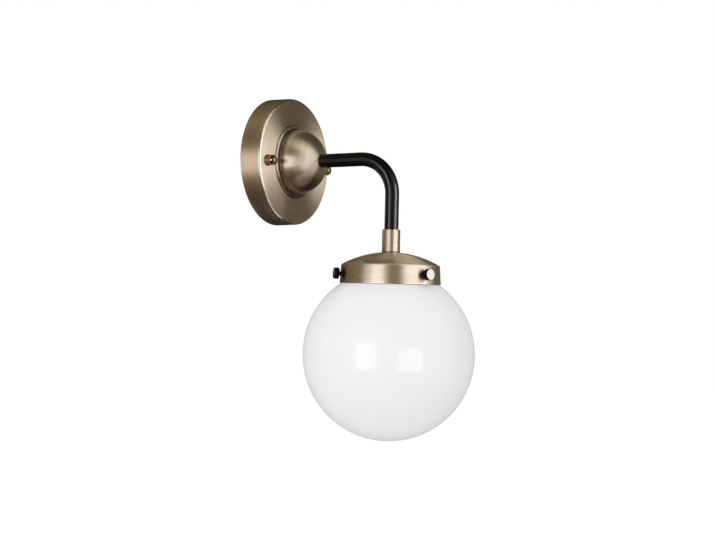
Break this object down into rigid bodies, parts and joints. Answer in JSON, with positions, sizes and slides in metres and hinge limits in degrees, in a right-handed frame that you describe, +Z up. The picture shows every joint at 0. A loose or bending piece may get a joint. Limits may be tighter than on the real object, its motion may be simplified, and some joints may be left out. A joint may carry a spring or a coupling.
{
  "type": "wall lamp",
  "caption": "Wall lamp: a round brass plate with a domed boss, a bent black arm, and a brass gallery that carries an opal glass globe on thumb screws over a small bulb.",
  "frame": {"origin": "centre of the wall plate's back, on the wall's surface", "axes": "+Z up, +Y into the wall, +X to the right as seen from the room; the arm stands out along -Y"},
  "size_m": [0.15, 0.1971, 0.305],
  "materials": {
    "antique_brass": "satin, spun, lacquered",
    "black_arm": "satin black",
    "opal_glass": "glossy opal white",
    "zinc_steel": "zinc plated",
    "plain_brass": "bright",
    "white_moulding": "moulded",
    "live_insulation": "brown",
    "neutral_insulation": "blue",
    "copper": "bare copper",
    "black_holder": "moulded",
    "ceramic": "glazed ceramic",
    "bulb_metal": "satin",
    "black_glass": "black glass",
    "frosted_glass": "frosted",
    "thumb_screw": "knurled, darkened sides",
    "soft_tip": "nylon"
  },
  "bodies": {
    "fixture": {"wall_bracket": "zinc_steel", "plate_studs": "zinc_steel", "stud_lock_nuts": "zinc_steel", "block_screw": "zinc_steel", "arm_nipple": "zinc_steel", "arm_washer": "zinc_steel", "arm_nut": "zinc_steel", "lamp_nipple": "zinc_steel", "gallery_washer": "zinc_steel", "gallery_nut": "zinc_steel", "terminal_block": "white_moulding", "nipple_bush": "white_moulding", "terminal_sleeves": "plain_brass", "terminal_screws": "plain_brass", "earth_screw": "plain_brass", "earth_washer": "plain_brass", "screw_bushes": "plain_brass", "contact_posts": "plain_brass", "contact_screws": "plain_brass", "holder_contacts": "plain_brass", "holder_shell": "plain_brass", "wall_plate": "antique_brass", "dome_cover": "antique_brass", "collar": "antique_brass", "gallery": "antique_brass", "arm_tube": "black_arm", "live_wire": "live_insulation", "neutral_wire": "neutral_insulation", "stripped_wire_ends": "copper", "globe": "opal_glass", "holder_cap": "black_holder", "holder_body": "black_holder", "holder_insert": "ceramic", "bulb_cap": "bulb_metal", "bulb_contact": "bulb_metal", "bulb_insulator": "black_glass", "bulb_envelope": "frosted_glass"},
    "tip_front": {"screw_tip_front": "soft_tip"},
    "screw_front": {"thumb_screw_front": "thumb_screw"},
    "tip_left": {"screw_tip_left": "soft_tip"},
    "screw_left": {"thumb_screw_left": "thumb_screw"},
    "tip_right": {"screw_tip_right": "soft_tip"},
    "screw_right": {"thumb_screw_right": "thumb_screw"},
    "washer_left": {"nut_washer_left": "antique_brass"},
    "nut_left": {"ball_nut_left": "antique_brass"},
    "washer_right": {"nut_washer_right": "antique_brass"},
    "nut_right": {"ball_nut_right": "antique_brass"}
  },
  "joints": [
    {"name": "screw_travel_front", "type": "slide", "parent": "fixture", "child": "tip_front", "axis": [-0.3248, -0.9434, 0.0674], "range_m": [0, 0.00245]},
    {"name": "screw_turn_front", "type": "hinge", "parent": "tip_front", "child": "screw_front", "pos_m": [-0.01422, -0.16339, -0.1025], "axis": [-0.3248, -0.9434, 0.0674], "range_deg": [0, 1260]},
    {"name": "screw_travel_left", "type": "slide", "parent": "fixture", "child": "tip_left", "axis": [-0.6546, 0.753, 0.0674], "range_m": [0, 0.00245]},
    {"name": "screw_turn_left", "type": "hinge", "parent": "tip_left", "child": "screw_left", "pos_m": [-0.02865, -0.08915, -0.1025], "axis": [-0.6546, 0.753, 0.0674], "range_deg": [0, 1260]},
    {"name": "screw_travel_right", "type": "slide", "parent": "fixture", "child": "tip_right", "axis": [0.9794, 0.1904, 0.0674], "range_m": [0, 0.00245]},
    {"name": "screw_turn_right", "type": "hinge", "parent": "tip_right", "child": "screw_right", "pos_m": [0.04286, -0.11377, -0.1025], "axis": [0.9794, 0.1904, 0.0674], "range_deg": [0, 1260]},
    {"name": "nut_travel_left", "type": "slide", "parent": "fixture", "child": "washer_left", "axis": [0, -1, 0], "range_m": [0, 0.007]},
    {"name": "nut_turn_left", "type": "hinge", "parent": "washer_left", "child": "nut_left", "pos_m": [-0.0459, -0.0204, -0.0032], "axis": [0, -1, 0], "range_deg": [0, 3600]},
    {"name": "nut_travel_right", "type": "slide", "parent": "fixture", "child": "washer_right", "axis": [0, -1, 0], "range_m": [0, 0.007]},
    {"name": "nut_turn_right", "type": "hinge", "parent": "washer_right", "child": "nut_right", "pos_m": [0.0459, -0.0204, -0.0032], "axis": [0, -1, 0], "range_deg": [0, 3600]}
  ],
  "couplings": [
    {"joint": "screw_turn_front", "follows": "screw_travel_front", "rad_per_m": 8976},
    {"joint": "screw_turn_left", "follows": "screw_travel_left", "rad_per_m": 8976},
    {"joint": "screw_turn_right", "follows": "screw_travel_right", "rad_per_m": 8976},
    {"joint": "nut_turn_left", "follows": "nut_travel_left", "rad_per_m": 8976},
    {"joint": "nut_turn_right", "follows": "nut_travel_right", "rad_per_m": 8976}
  ]
}
